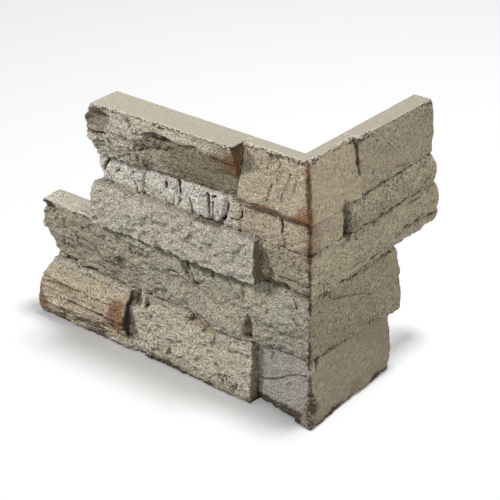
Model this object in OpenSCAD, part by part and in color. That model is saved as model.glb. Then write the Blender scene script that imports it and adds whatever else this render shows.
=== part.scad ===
// Stone cladding corner panel: five courses of split stone on an L-shaped slab.
// The wall corner is the origin, at the foot of the panel. The long leg runs along -X
// and shows its face to -Y, the short leg runs along +Y and shows its face to +X.

/* [Courses] */
// Height of the top course
course_1_h = 42; // [32:1:56]
// Height of the second course
course_2_h = 24; // [16:1:36]
// Height of the third course
course_3_h = 34; // [24:1:48]
// Height of the fourth course
course_4_h = 50; // [38:1:64]
// Height of the bottom course
course_5_h = 50; // [38:1:64]
// Height of the slanting ledge between two courses
bed_joint_h = 0.8; // [0.4:0.1:2]

/* [Legs] */
// Long leg over the three upper courses, from the wall corner
long_upper = 180; // [165:1:215]
// Long leg over the two lower courses
long_lower = 243; // [225:1:300]
// Short leg over the three upper courses
short_upper = 127; // [110:1:160]
// Short leg over the two lower courses
short_lower = 82; // [70:1:100]

/* [Steps] */
// Wall corner to the step between the two stones of the top course, long leg
step_1 = 44; // [35:1:70]
// Wall corner to the step in the third course
step_3 = 26; // [18:1:60]
// Wall corner to the near step in the bottom course
step_5_near = 31; // [20:1:60]
// Wall corner to the far step in the bottom course
step_5_far = 152; // [110:1:190]
// Wall corner to the step in the top course, short leg
step_1_short = 39; // [25:1:70]
// Wall corner to the gap in the second course, short leg
gap_2_short = 21; // [12:1:50]
// Width of a step's end face, seen from the front
step_w = 1; // [0.6:0.1:2]

/* [Stone thickness] */
// Each stone: near top, far top, near bottom, far bottom, measured from the wall
// Top course, long stone
stone_1_far = [23.5, 26.5, 14, 23]; // [6:0.5:34]
// Top course, corner stone on the long leg
stone_1_near = [10, 12, 20.5, 21]; // [6:0.5:34]
// Second course, long leg
stone_2 = [18, 17, 18, 16]; // [6:0.5:34]
// Third course, long stone
stone_3_far = [24, 24.5, 24.5, 25.5]; // [6:0.5:34]
// Third course, corner stone
stone_3_near = [18, 18.5, 17, 17]; // [6:0.5:34]
// Fourth course, long leg
stone_4 = [18, 20, 17, 13]; // [6:0.5:34]
// Bottom course, far stone
stone_5_far = [17, 16, 21, 24.5]; // [6:0.5:34]
// Bottom course, middle stone
stone_5_mid = [21, 19, 25, 24]; // [6:0.5:34]
// Bottom course, corner stone on the long leg
stone_5_near = [16, 18, 24, 19]; // [6:0.5:34]
// Top course, corner stone on the short leg
stone_1_side = [9.5, 9.5, 20, 19.5]; // [6:0.5:34]
// Top course, end stone of the short leg
stone_1_end = [14, 15.5, 18, 16.5]; // [6:0.5:34]
// Second course, corner stone on the short leg
stone_2_side = [18.5, 18.5, 17.5, 17.5]; // [6:0.5:34]
// Second course, end stone of the short leg
stone_2_end = [18, 17, 18.5, 18.5]; // [6:0.5:34]
// Third course, short leg
stone_3_side = [18, 19, 18, 17]; // [6:0.5:34]
// Fourth course, short leg
stone_4_side = [18, 18, 16, 23]; // [6:0.5:34]
// Bottom course, short leg
stone_5_side = [16.5, 17, 24, 18]; // [6:0.5:34]

/* [Surface] */
// Height of the split roughness of a rough stone
grain = 0.6; // [0:0.1:1.2]
// Rounding of the stones' long edges
edge_round = 1.2; // [0:0.1:2]
// Spacing of the points along a leg and up the face
mesh_step = 5; // [4.6:0.1:9]
// Seed of the roughness
grain_seed = 11; // [1:1:99]

/* [Hidden] */

heights = [course_1_h, course_2_h, course_3_h, course_4_h, course_5_h];
last = len(heights) - 1;
function total(list, from) = from >= len(list) ? 0 : list[from] + total(list, from + 1);
function course_top(c) = total(heights, c);
function course_foot(c) = total(heights, c + 1);

// The two legs are handled alike: a distance out from the wall corner and a thickness
LONG = 0;
SHORT = 1;
leg_upper = [long_upper, short_upper];
leg_lower = [long_lower, short_lower];
upper_courses = 3;
function leg_length(leg, c) = c < upper_courses ? leg_upper[leg] : leg_lower[leg];

// How far the broken end of each course stands past its leg, at even steps from its top down
long_ends = [[-7, 5, 1, -3], [-3, -1, -3, -5], [0, 2, 3, 4], [-1, 0, -3, -8], [-8, 1, 3, 4]];
short_ends = [[-1, 2, 2, 0], [-1, 2, 2, 1], [3, 6, 8, 9], [0, 4, 4, 1], [-11, -9, -7, -5]];
ends = [long_ends, short_ends];

// Stones of each course as rows of far end, thickness at the four corners, belly, grain share
function none_past(leg, c) = leg_length(leg, c) * 2;
long_stones = [
    [[step_1, stone_1_near, 0, 0.5], [none_past(LONG, 0), stone_1_far, 1.5, 1]],
    [[none_past(LONG, 1), stone_2, 1, 0.9]],
    [[step_3, stone_3_near, 0, 0.8], [none_past(LONG, 2), stone_3_far, 0.5, 0.5]],
    [[none_past(LONG, 3), stone_4, 2, 1.2]],
    [[step_5_near, stone_5_near, -1, 0.5], [step_5_far, stone_5_mid, 0, 1],
     [none_past(LONG, 4), stone_5_far, 8, 1]]
];
short_stones = [
    [[step_1_short, stone_1_side, 0, 0.5], [none_past(SHORT, 0), stone_1_end, 0, 0.4]],
    [[gap_2_short, stone_2_side, 0, 0.5], [none_past(SHORT, 1), stone_2_end, 2, 1]],
    [[none_past(SHORT, 2), stone_3_side, 1, 1]],
    [[none_past(SHORT, 3), stone_4_side, 1, 0.6]],
    [[none_past(SHORT, 4), stone_5_side, 1, 0.4]]
];
stones = [long_stones, short_stones];

// Gaps between blocks of the second course: share of the leg at the top and foot, depth
long_gaps = [[0.71, 0.755, 3.5], [0.55, 0.58, 1.6], [0.39, 0.385, 2], [0.03, 0.025, 1.4]];
short_gaps = [[gap_2_short / short_upper, gap_2_short / short_upper, 5]];
gap_course = 1;
gaps = [long_gaps, short_gaps];
gap_w = 2;
gap_reach = gap_w * 0.6;

// Length of face over which a broken end moves the columns
end_reach = 35;

// Scars on the faces: leg, course, share of the leg, share of the height, half length,
// half height, depth. A scar of negative depth is a boss
scars = [
    [LONG, 0, 0.945, 0.35, 16, 12, 7],
    [LONG, 0, 0.42, 0.45, 62, 14, 2.4],
    [LONG, 0, 0.69, 0.55, 12, 5, 2.6],
    [LONG, 0, 0.62, 0.29, 14, 5, 2],
    [LONG, 2, 0.08, 0.95, 20, 12, 3.5],
    [LONG, 3, 0.23, 1, 42, 26, -7.5],
    [LONG, 3, 0.3, 0.26, 28, 19, 3.8],
    [LONG, 3, 0.39, 0.16, 8, 8, 2.4],
    [LONG, 3, 0.45, 0.5, 13, 9, 2.6],
    [LONG, 3, 0.385, 0.7, 10, 8, 2],
    [LONG, 3, 0.05, 0.05, 28, 12, 2],
    [LONG, 3, 0.97, 0.16, 11, 9, 4.5],
    [LONG, 3, 0.15, 0.76, 6, 10, 2.4],
    [LONG, 4, 0.6, 0.1, 9, 12, 6],
    [LONG, 4, 0.32, 0, 18, 7, 3.5],
    [LONG, 4, 0.03, 1, 34, 8, 4],
    [LONG, 4, 0.94, 0.5, 24, 6, 1.5],
    [SHORT, 1, 0.6, 0, 60, 8, 1],
    [SHORT, 2, 0.85, 0.7, 14, 9, 1.5],
    [SHORT, 3, 0.36, 0.12, 34, 8, 1.4],
    [SHORT, 4, 0.2, 0.95, 26, 22, 2]
];

// Columns: the lower long leg and the upper short leg are the longer ones, and their
// extra columns turn onto the end face where the leg is shorter
function columns(length) = round(length / mesh_step);
shared_columns = [columns(long_upper), columns(short_lower)];
extra_columns = [columns(long_lower) - shared_columns[LONG], columns(short_upper) - shared_columns[SHORT]];
end_columns = 4;
corner_columns = 4;
function is_longer(leg, c) = leg == LONG ? c >= upper_courses : c < upper_courses;
function face_columns(leg, c) = shared_columns[leg] + (is_longer(leg, c) ? extra_columns[leg] : 0);
function end_points(leg, c) = end_columns + (is_longer(leg, c) ? 0 : extra_columns[leg]);

function mix(a, b, share) = a + (b - a) * share;
function along(list, share) =
    let (spot = share * (len(list) - 1), i = min(floor(spot), len(list) - 2))
    mix(list[i], list[i + 1], spot - i);
function end_at(leg, c, v) = leg_length(leg, c) + along(ends[leg][c], v);

// A column beside a step or a gap moves onto its edge, so that the edge is sharp: each mark
// holds its place at mid height, which picks the columns, its place at this level and its width
function gap_place(leg, g, v) = mix(g[0], g[1], v) * leg_length(leg, gap_course);
function marks(leg, c, v) = concat(
    [for (i = [0:1:len(stones[leg][c]) - 2]) let (step = stones[leg][c][i][0]) [step, step, step_w]],
    c == gap_course ? [for (g = gaps[leg]) [gap_place(leg, g, 0.5), gap_place(leg, g, v), gap_w]] : []
);
function snapped(a, spacing, marks) =
    let (near = [for (m = marks) if (a > m[0] - spacing && a <= m[0] + spacing) m])
    len(near) == 0 ? a : near[0][1] + (a <= near[0][0] ? -0.5 : 0.5) * near[0][2];

// Columns keep their places up the face, and the last ones stretch to the broken end
function stretched(a, length, end) = a + (end - length) * max(0, 1 - (length - a) / end_reach);

// Thickness of the stone that covers distance a, without its roughness
function stone_index(row, a, i = 0) = i == len(row) - 1 || a < row[i][0] ? i : stone_index(row, a, i + 1);
function flat_thickness(leg, c, a, v) =
    let (
        row = stones[leg][c],
        i = stone_index(row, a),
        near = i == 0 ? 0 : row[i - 1][0],
        far = min(row[i][0], leg_length(leg, c)),
        share = max(0, min(1, (a - near) / (far - near))),
        t = row[i][1]
    )
    mix(mix(t[0], t[1], share), mix(t[2], t[3], share), v) + row[i][2] * 4 * v * (1 - v);

function bump(r2) = r2 >= 1 ? 0 : pow(1 - r2, 1.5);
function scar_depth(leg, c, a, v) = total([
    for (s = scars)
        if (s[0] == leg && s[1] == c)
            s[6] * bump(
                pow((a - s[2] * leg_length(leg, c)) / s[4], 2)
                + pow((v - s[3]) * heights[c] / s[5], 2)
            )
], 0);
function gap_depth(leg, c, a, v) = c != gap_course ? 0 : max([
    for (g = gaps[leg]) abs(a - gap_place(leg, g, v)) < gap_reach ? g[2] : 0
]);
function edge_fall(h, v) =
    let (d = min(v, 1 - v) * h)
    d >= 2 * edge_round ? 0 : edge_round * pow(1 - d / (2 * edge_round), 2);

// Roughness: one random value for each column and level, on each leg and end face
noise_n = 4096;
noise = rands(-1, 1, noise_n, grain_seed);
column_stride = 71;
level_stride = 337;
leg_offset = 40;
end_offset = 9;
course_offset = 20;
function rough(i, j) = noise[(i * column_stride + j * level_stride) % noise_n];

function thickness(leg, c, a, v, i, j) =
    let (row = stones[leg][c], share = row[stone_index(row, a)][3])
    flat_thickness(leg, c, a, v) - scar_depth(leg, c, a, v) - gap_depth(leg, c, a, v)
    - edge_fall(heights[c], v) + grain * share * rough(i + leg * leg_offset, j);

// One leg of one level, from the back of its end to the last column before the corner,
// as pairs of distance and thickness
function leg_level(leg, c, v, j) =
    let (
        end = end_at(leg, c, v),
        on_end = end_points(leg, c),
        on_face = face_columns(leg, c),
        length = leg_length(leg, c),
        spacing = length / on_face,
        edges = marks(leg, c, v),
        end_t = thickness(leg, c, end, v, 0, j) - edge_round,
        corner = flat_thickness(1 - leg, c, 0, v) - edge_fall(heights[c], v)
    )
    concat(
        [[end, 0]],
        [for (k = [1:on_end - 1]) let (share = k / on_end)
            [end + grain * rough(k, j + end_offset) * sin(180 * share), end_t * share]],
        [[end, end_t]],
        [for (i = [1:on_face])
            let (a = snapped(stretched(length - i * spacing, length, end), spacing, edges))
            [a, thickness(leg, c, a, v, i, j)]],
        [for (k = [1:corner_columns - 1]) let (a = -corner * k / corner_columns)
            [a, thickness(leg, c, a, v, on_face + k, j)]]
    );
function reversed(list) = [for (i = [len(list) - 1:-1:0]) list[i]];

// One level of the panel: anticlockwise from the back of the long leg's end
arris_fall = edge_round * 0.7;
function level(c, v, z, j) =
    let (
        long = leg_level(LONG, c, v, j),
        short = leg_level(SHORT, c, v, j),
        fall = edge_fall(heights[c], v) + arris_fall,
        corner = [flat_thickness(SHORT, c, 0, v) - fall, -flat_thickness(LONG, c, 0, v) + fall]
    )
    concat(
        [for (p = long) [-p[0], -p[1], z]],
        [[corner[0], corner[1], z]],
        [for (p = reversed(short)) [p[1], p[0], z]],
        [[0, 0, z]]
    );

// Levels of all courses, from the top down, with the slanting ledge between two courses
function rows(c) = max(3, round(heights[c] / mesh_step));
function level_z(c, v) = mix(
    course_top(c) - (c == 0 ? 0 : bed_joint_h / 2),
    course_foot(c) + (c == last ? 0 : bed_joint_h / 2),
    v
);
levels = [
    for (c = [0:last])
        for (k = [0:rows(c)]) let (v = k / rows(c))
            level(c, v, level_z(c, v), c * course_offset + k)
];
level_n = len(levels);
ring_n = len(levels[0]);

// Places of the named points in a level
short_end_i = ring_n - 2;
wall_corner_i = ring_n - 1;

// The top and foot faces are bands between the face's points and points on the wall line
function band_first(c) = end_points(LONG, c) + 1;
function band_last(c) = end_points(LONG, c) + face_columns(LONG, c) - 1;
function short_band_first(c) = short_end_i - end_points(SHORT, c) - face_columns(SHORT, c) + 1;
function short_band_last(c) = short_end_i - end_points(SHORT, c) - 1;
function wall_points(ring, c) = concat(
    [for (i = [band_first(c):band_last(c)]) [ring[i][0], 0, ring[i][2]]],
    [for (i = [short_band_first(c):short_band_last(c)]) [0, ring[i][1], ring[i][2]]]
);
top_wall = wall_points(levels[0], 0);
foot_wall = wall_points(levels[level_n - 1], last);

function at(j, i) = j * ring_n + i;
function flipped(faces, flip) = flip ? [for (f = faces) reversed(f)] : faces;

side_faces = [
    for (j = [0:level_n - 2])
        for (i = [0:short_end_i - 1])
            each (i + j) % 2 == 0
                ? [[at(j, i), at(j, i + 1), at(j + 1, i + 1)], [at(j, i), at(j + 1, i + 1), at(j + 1, i)]]
                : [[at(j, i), at(j, i + 1), at(j + 1, i)], [at(j, i + 1), at(j + 1, i + 1), at(j + 1, i)]]
];

// The wall faces between two levels, of which the top and foot levels have more points
function strip(a, b) = concat(
    [for (i = [0:1:len(a) - 2]) [a[i], a[i + 1], b[0]]],
    [for (i = [0:1:len(b) - 2]) [a[len(a) - 1], b[i + 1], b[i]]]
);
function wall_lines(j) =
    let (
        base = level_n * ring_n + (j == 0 ? 0 : len(top_wall)),
        c = j == 0 ? 0 : last,
        full = j == 0 || j == level_n - 1,
        long_count = band_last(c) - band_first(c) + 1,
        short_count = short_band_last(c) - short_band_first(c) + 1
    )
    [
        concat([at(j, 0)], full ? [for (i = [0:long_count - 1]) base + i] : [], [at(j, wall_corner_i)]),
        concat([at(j, wall_corner_i)], full ? [for (i = [0:short_count - 1]) base + long_count + i] : [],
            [at(j, short_end_i)])
    ];
wall_faces = [
    for (j = [0:level_n - 2])
        for (leg = [LONG, SHORT])
            each flipped(strip(wall_lines(j)[leg], wall_lines(j + 1)[leg]), true)
];

// One end face of the slab, top or foot, as seen from above
function lid(j, c) =
    let (
        long_wall = wall_lines(j)[LONG],
        short_wall = wall_lines(j)[SHORT],
        first = band_first(c),
        long_count = band_last(c) - first + 1,
        short_first = short_band_first(c),
        short_count = short_band_last(c) - short_first + 1,
        short_far = short_first + short_count - 1
    )
    concat(
        [for (i = [0:first - 1]) [long_wall[1], at(j, i + 1), at(j, i)]],
        [for (i = [1:long_count]) let (f = first + i - 1) each [
            [long_wall[i], long_wall[i + 1], at(j, f + 1)],
            [long_wall[i], at(j, f + 1), at(j, f)]
        ]],
        [for (i = [first + long_count:short_first - 2]) [at(j, wall_corner_i), at(j, i + 1), at(j, i)]],
        [for (i = [0:short_count - 1]) let (f = short_first + i - 1) each [
            [short_wall[i], short_wall[i + 1], at(j, f + 1)],
            [short_wall[i], at(j, f + 1), at(j, f)]
        ]],
        [for (i = [short_far:short_end_i - 1]) [short_wall[short_count], at(j, i + 1), at(j, i)]]
    );

module corner_panel() {
    color("tan")
    polyhedron(
        points = concat([for (ring = levels) each ring], top_wall, foot_wall),
        faces = concat(side_faces, wall_faces, lid(0, 0), flipped(lid(level_n - 1, last), true)),
        convexity = 6
    );
}

corner_panel();
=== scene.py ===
import math

import bpy
import numpy as np
import openvdb
from mathutils import Matrix, Vector


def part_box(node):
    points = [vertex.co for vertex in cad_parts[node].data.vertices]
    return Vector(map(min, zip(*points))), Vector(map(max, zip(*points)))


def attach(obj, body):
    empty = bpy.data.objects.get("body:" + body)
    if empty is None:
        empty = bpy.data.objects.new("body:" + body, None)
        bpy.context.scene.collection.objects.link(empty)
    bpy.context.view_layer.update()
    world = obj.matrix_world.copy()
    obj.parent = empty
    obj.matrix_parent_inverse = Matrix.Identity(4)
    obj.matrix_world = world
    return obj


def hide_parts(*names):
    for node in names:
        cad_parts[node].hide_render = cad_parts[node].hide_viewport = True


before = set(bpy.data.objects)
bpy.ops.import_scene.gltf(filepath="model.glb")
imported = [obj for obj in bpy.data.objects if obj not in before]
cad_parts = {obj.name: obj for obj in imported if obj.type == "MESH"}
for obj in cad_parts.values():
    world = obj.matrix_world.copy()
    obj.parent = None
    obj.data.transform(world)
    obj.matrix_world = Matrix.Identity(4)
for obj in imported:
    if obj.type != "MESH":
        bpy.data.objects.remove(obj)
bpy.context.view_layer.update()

# Places are in millimetres in the part's frame until the mesh is made. The wall corner is
# the origin. A distance along a leg is counted out from the wall corner.
MM = 0.001
NODE = "corner_panel"
LONG, SHORT = 0, 1

# The slab and the stones in front of it, from the top course down
(
    SLAB, TOP_FAR, TOP_CORNER, TOP_END, SECOND, SECOND_END, THIRD_FAR, THIRD_CORNER,
    FOURTH, FOOT_FAR, FOOT_MIDDLE, FOOT_CORNER,
) = range(12)

node_low, node_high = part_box(NODE)
PANEL_H = node_high.z / MM

# Courses from the top down
COURSE_H = [42, 24, 34, 50, 50]
SCALE = PANEL_H / sum(COURSE_H)
TOPS = [sum(COURSE_H[i:]) * SCALE for i in range(len(COURSE_H))]
FEET = TOPS[1:] + [0.0]

# Legs: length over the three upper courses and the two lower ones, and how far the end of
# each course stands out past that length, from its top to its foot
UPPER_COURSES = 3
LENGTHS = {LONG: (180.0, 243.0), SHORT: (127.0, 82.0)}
END_STEPS = {
    LONG: [(-7, 3, 0, -4), (-3, -1, -3, -5), (0, 2, 3, 4), (-1, 0, -3, -8), (-8, 1, 3, 4)],
    SHORT: [(-1, 2, 2, 0), (-1, 2, 2, 1), (3, 6, 8, 9), (0, 4, 4, 1), (-11, -9, -7, -5)],
}

# Steps between the stones of a course
STEP_1, STEP_3, STEP_5_NEAR, STEP_5_FAR = 44.0, 26.0, 31.0, 152.0
STEP_1_SHORT, GAP_2_SHORT = 39.0, 21.0
# A face that ends this near to the end of the upper courses takes the ragged end of its leg
END_ZONE = 30

# The slab, and how far it stays behind the ends and the beds of the stones
SLAB_T = 8.0
SLAB_INSET = 1.5
SLAB_BED = 0.4

# The grid of the volume that the stones are built in, and how far the courses overlap in it
VOXEL = 0.75
MARGIN = 4.5
FAR_OFF = 6.0
PAD = 4.0
OVERLAP = 0.3
TRIANGLES = 192000
SEED = 20

# The smallest flakes of a split face, along the leg and in height
LEAST_FLAKE_A, LEAST_FLAKE_Z = 3.4, 2.8

# Wear of the stones: it grows over a depth in front of the back, fades out towards the top
# face, and is stronger near the arris of the corner
WEAR_DEPTH = 4.0
WEAR_BELOW_TOP = 1.5
CORNER_WEAR, CORNER_SPREAD = 1.3, 4.5
GRAIN_WEAR, LUMP_WEAR = 1.3, 0.55
ROUND_SPREAD, ROUND_LEAST, ROUND_MOST = 0.45, 0.5, 2.2
BED_ROUND = 0.5


def mix(a, b, share):
    return a + (b - a) * share


def smooth_step(x, low, high):
    s = np.clip((x - low) / (high - low), 0.0, 1.0)
    return s * s * (3.0 - 2.0 * s)


def fade(x, low, high):
    return 1 - smooth_step(x, low, high)


def smooth_max(a, b, k):
    return np.maximum(a, b) + np.maximum(k - np.abs(a - b), 0.0) ** 2 / (4.0 * k)


def spline_weights(coords, pitch):
    """Cubic spline weights from a lattice of the given pitch to the coordinates."""
    t = np.abs(coords - coords[0]) / pitch + 1.0
    cell = np.floor(t).astype(int)
    f = t - cell
    parts = ((1 - f) ** 3, 3 * f**3 - 6 * f**2 + 4, -3 * f**3 + 3 * f**2 + 3 * f + 1, f**3)
    weights = np.zeros((len(coords), cell[-1] + 3), np.float32)
    for k, part in enumerate(parts):
        weights[np.arange(len(coords)), cell - 1 + k] = part / 6.0
    return weights


def noise(axes, pitches, seed):
    """Smooth noise of unit spread over the grid that the axes make."""
    weights = [spline_weights(axis, pitch) for axis, pitch in zip(axes, pitches)]
    rng = np.random.default_rng(SEED + seed)
    out = rng.standard_normal([w.shape[1] for w in weights]).astype(np.float32)
    for w in weights:
        out = np.tensordot(out, w, axes=(0, 1))
    return out / out.std()


# Every crack as leg, points, width and depth, so that it can be darkened later
cracks = []


class Face:
    """Thickness of one stone over its stretch of a leg, as a grid of distance and height."""

    def __init__(self, leg, course, near, far, corners, belly=0.0):
        self.leg = leg
        self.a = grid.leg_axis(leg)
        self.z = grid.axes[2]
        self.near, self.far = near, far
        self.top, self.foot = TOPS[course], FEET[course]
        self.A, self.Z = np.meshgrid(self.a, self.z, indexing="ij")
        share = np.clip((self.A - near) / (far - near), 0.0, 1.0)
        v = np.clip((self.top - self.Z) / (self.top - self.foot), 0.0, 1.0)
        near_top, far_top, near_foot, far_foot = corners
        self.t = mix(mix(near_top, far_top, share), mix(near_foot, far_foot, share), v)
        self.t += belly * 4 * v * (1 - v)

    def noise(self, pitch_a, pitch_z, seed):
        return noise([self.a, self.z], [pitch_a, pitch_z], seed)

    def rough(self, pitch_a, pitch_z, height, seed, where=1.0):
        self.t += height * where * self.noise(pitch_a, pitch_z, seed)

    def spot(self, a, z, half_a, half_z, turn=0.0):
        """1 at the middle of a turned ellipse, 0 at its edge and beyond."""
        c, s = math.cos(math.radians(turn)), math.sin(math.radians(turn))
        u = ((self.A - a) * c + (self.Z - z) * s) / half_a
        w = (-(self.A - a) * s + (self.Z - z) * c) / half_z
        return np.clip(1.0 - u * u - w * w, 0.0, 1.0)

    def bowl(self, a, z, half_a, half_z, depth, turn=0.0, power=1.0):
        self.t -= depth * self.spot(a, z, half_a, half_z, turn) ** power

    def distance(self, points):
        """Distance to a line through points."""
        best = np.full(self.A.shape, 1e3)
        for (a0, z0), (a1, z1) in zip(points, points[1:]):
            da, dz = a1 - a0, z1 - z0
            s = np.clip(((self.A - a0) * da + (self.Z - z0) * dz) / (da * da + dz * dz), 0, 1)
            best = np.minimum(best, np.hypot(self.A - a0 - s * da, self.Z - z0 - s * dz))
        return best

    def crack(self, points, width, depth):
        """A groove along a line of points, wandering a little."""
        wander = 0.35 * self.noise(3.0, 3.0, len(points) + int(abs(points[0][0])))
        cracks.append((self.leg, points, width, depth))
        self.t -= depth * smooth_step(-self.distance(points) - 0.3 * wander, -width, 0.0)

    def inside(self, points):
        """Distance inside a convex outline, below 0 outside it."""
        area = sum(p[0] * q[1] - q[0] * p[1] for p, q in zip(points, points[1:] + points[:1]))
        turn = 1.0 if area > 0 else -1.0
        best = np.full(self.A.shape, 1e3)
        for (a0, z0), (a1, z1) in zip(points, points[1:] + points[:1]):
            da, dz = a1 - a0, z1 - z0
            away = turn * (da * (self.Z - z0) - dz * (self.A - a0)) / math.hypot(da, dz)
            best = np.minimum(best, away)
        return best

    def cut(self, points, depth, soft, ragged=0.6, seed=0, share=1.0):
        """Lower the face inside a convex outline, with an edge as soft as given."""
        edge = self.inside(points) + ragged * self.noise(4.0, 3.0, 50 + seed)
        self.t -= depth * share * smooth_step(edge, 0.0, soft)

    def flakes(self, size_a, size_z, height, tilt, seed, where=1.0):
        """Flat flakes with broken edges, each with its own height and tilt."""
        rng = np.random.default_rng(SEED + 100 + seed)
        a_mid = np.arange(self.a.min() - size_a, self.a.max() + 2 * size_a, size_a)
        z_mid = np.arange(self.foot - size_z, self.top + 2 * size_z, size_z)
        best = np.full(self.A.shape, 1e6)
        rise = np.zeros(self.A.shape)
        warp = 0.25 * self.noise(size_a * 0.8, size_z * 0.8, 60 + seed)
        for am in a_mid:
            near = np.abs(self.a - am) < 2.2 * size_a
            for zm in z_mid:
                ja, jz, h, ta, tz = rng.uniform(-1, 1, 5)
                if not near.any():
                    continue
                u = (self.A[near] - am) / size_a - 0.45 * ja + warp[near]
                w = (self.Z[near] - zm) / size_z - 0.45 * jz + warp[near]
                d = u * u + w * w
                won = d < best[near]
                value = height * h + tilt * (ta * u + tz * w)
                best[near] = np.where(won, d, best[near])
                rise[near] = np.where(won, value, rise[near])
        self.t += rise * where

    def broken(self, size_a, size_z, height, seed, where=1.0):
        """Split stone: flakes on flakes, each set finer than the one before."""
        for step, (share, rise_share) in enumerate(((1.0, 0.5), (0.5, 0.36), (0.27, 0.24))):
            flake_a, flake_z = max(size_a * share, LEAST_FLAKE_A), max(size_z * share, LEAST_FLAKE_Z)
            rise = height * rise_share
            self.flakes(flake_a, flake_z, 0.6 * rise, 0.4 * rise, 10 * seed + step, where)


class Grid:
    """Signed distance to the stone on a grid, and which stone is the nearest."""

    def __init__(self):
        low = np.array(node_low) / MM - MARGIN
        high = np.array(node_high) / MM + MARGIN
        self.axes = [np.arange(lo, hi, VOXEL).astype(np.float32) for lo, hi in zip(low, high)]
        shape = [len(axis) for axis in self.axes]
        self.values = np.full(shape, FAR_OFF, np.float32)
        self.owner = np.zeros(shape, np.int8)
        grain, crumbs = noise(self.axes, [1.6] * 3, 1), noise(self.axes, [3.6, 3.6, 2.2], 3)
        self.fine = 0.4 * grain + 0.5 * crumbs
        self.coarse = noise(self.axes, [7.5, 7.5, 5.0], 2)

    def leg_axis(self, leg):
        """Distances along a leg, in the order of the grid's own axis."""
        return -self.axes[0] if leg == LONG else self.axes[1]

    def slices(self, low, high):
        spans = [np.searchsorted(axis, [lo, hi]) for axis, lo, hi in zip(self.axes, low, high)]
        return tuple(slice(*span) for span in spans)

    def add(self, low, high, number, body_of):
        """Join a body to the field inside a box."""
        where = self.slices(low, high)
        x = self.axes[0][where[0]][:, None, None]
        y = self.axes[1][where[1]][None, :, None]
        z = self.axes[2][where[2]][None, None, :]
        body = body_of(x, y, z, where)
        nearer = body < self.values[where]
        self.values[where] = np.where(nearer, body, self.values[where])
        self.owner[where] = np.where(nearer, number, self.owner[where])


grid = Grid()


def leg_end(leg, course, z):
    """Where a course ends along its leg at a height."""
    length = LENGTHS[leg][0 if course < UPPER_COURSES else 1]
    steps = END_STEPS[leg][course]
    v = np.clip((TOPS[course] - z) / (TOPS[course] - FEET[course]), 0, 1) * (len(steps) - 1)
    return length + np.interp(v, range(len(steps)), steps)


def build_stone(number, course, long_face=None, short_face=None, near=0.0, grain=0.3, lumps=0.3, edge=1.8):
    """One stone: on one leg from `near` outwards, or around the corner if it has two faces."""
    top = TOPS[course] + (0.0 if course == 0 else OVERLAP)
    foot = FEET[course] - (0.0 if course == len(COURSE_H) - 1 else OVERLAP)
    corner = long_face is not None and short_face is not None

    def reach(leg, face, z):
        ends_the_leg = face.far > LENGTHS[leg][0] - END_ZONE
        return leg_end(leg, course, z) if ends_the_leg else face.far + 0 * z

    def wear(x, y, z):
        if corner:
            depth = np.maximum(np.maximum(x, -y), 0)
        else:
            depth = np.maximum(-y if short_face is None else x, 0)
        worn = np.clip(depth / WEAR_DEPTH, 0.0, 1.0) * np.clip((PANEL_H - z) / WEAR_BELOW_TOP, 0.0, 1.0)
        if corner:
            worn = worn * (1.0 + CORNER_WEAR * np.exp(-(((x + y) / CORNER_SPREAD) ** 2)))
        return worn

    def body_of(x, y, z, where):
        fine, coarse = grid.fine[where], grid.coarse[where]
        round_k = np.clip(edge * (1.0 + ROUND_SPREAD * coarse), ROUND_LEAST, ROUND_MOST * edge)
        body = smooth_max(z - top, foot - z, BED_ROUND)
        if long_face is not None:
            front = -y - long_face.t[where[0]][:, None, where[2]]
            body = smooth_max(body, front, round_k)
            body = smooth_max(body, -x - reach(LONG, long_face, z), round_k)
        if short_face is not None:
            front = x - short_face.t[where[1]][None, :, where[2]]
            body = smooth_max(body, front, round_k)
            body = smooth_max(body, y - reach(SHORT, short_face, z), round_k)
        if not corner:
            body = smooth_max(body, near + x if short_face is None else near - y, round_k)
        body = body - wear(x, y, z) * (GRAIN_WEAR * grain * fine + LUMP_WEAR * lumps * coarse)
        body = np.maximum(body, np.maximum(z - PANEL_H, -z))
        if corner:
            return np.maximum(body, np.minimum(-x, y))
        return np.maximum(body, y if short_face is None else -x)

    thick_l = PAD if long_face is None else long_face.t.max() + PAD
    thick_s = PAD if short_face is None else short_face.t.max() + PAD
    if long_face is not None:
        far = float(np.max(reach(LONG, long_face, grid.axes[2]))) + PAD
        to_x = thick_s if corner else -near + PAD
        grid.add((-far, -thick_l, foot - PAD), (to_x, PAD, top + PAD), number, body_of)
    if short_face is not None:
        far = float(np.max(reach(SHORT, short_face, grid.axes[2]))) + PAD
        from_y = -thick_l if corner else near - PAD
        grid.add((-PAD, from_y, foot - PAD), (thick_s, far, top + PAD), number, body_of)


def build_slab():
    """The slab behind the stones, a little short of every outline."""

    def body_of(x, y, z, where):
        heights = grid.axes[2][where[2]]
        course = np.searchsorted(-np.array(FEET), -heights, side="left")
        course = np.clip(course, 0, len(COURSE_H) - 1)
        long_end, short_end = (
            np.array([leg_end(leg, c, h) for c, h in zip(course, heights)]) - SLAB_INSET
            for leg in (LONG, SHORT)
        )
        body = np.maximum(np.maximum(x - SLAB_T, -y - SLAB_T), np.minimum(-x, y))
        body = np.maximum(body, np.maximum(-x - long_end[None, None, :], y - short_end[None, None, :]))
        return np.maximum(body, np.maximum(z - PANEL_H + SLAB_BED, SLAB_BED - z))

    pad = 3
    low = (node_low.x / MM, -SLAB_T - pad, -pad)
    grid.add(low, (SLAB_T + pad, pad, PANEL_H + pad), SLAB, body_of)
    low = (-pad, -SLAB_T - pad, -pad)
    grid.add(low, (SLAB_T + pad, node_high.y / MM, PANEL_H + pad), SLAB, body_of)


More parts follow.
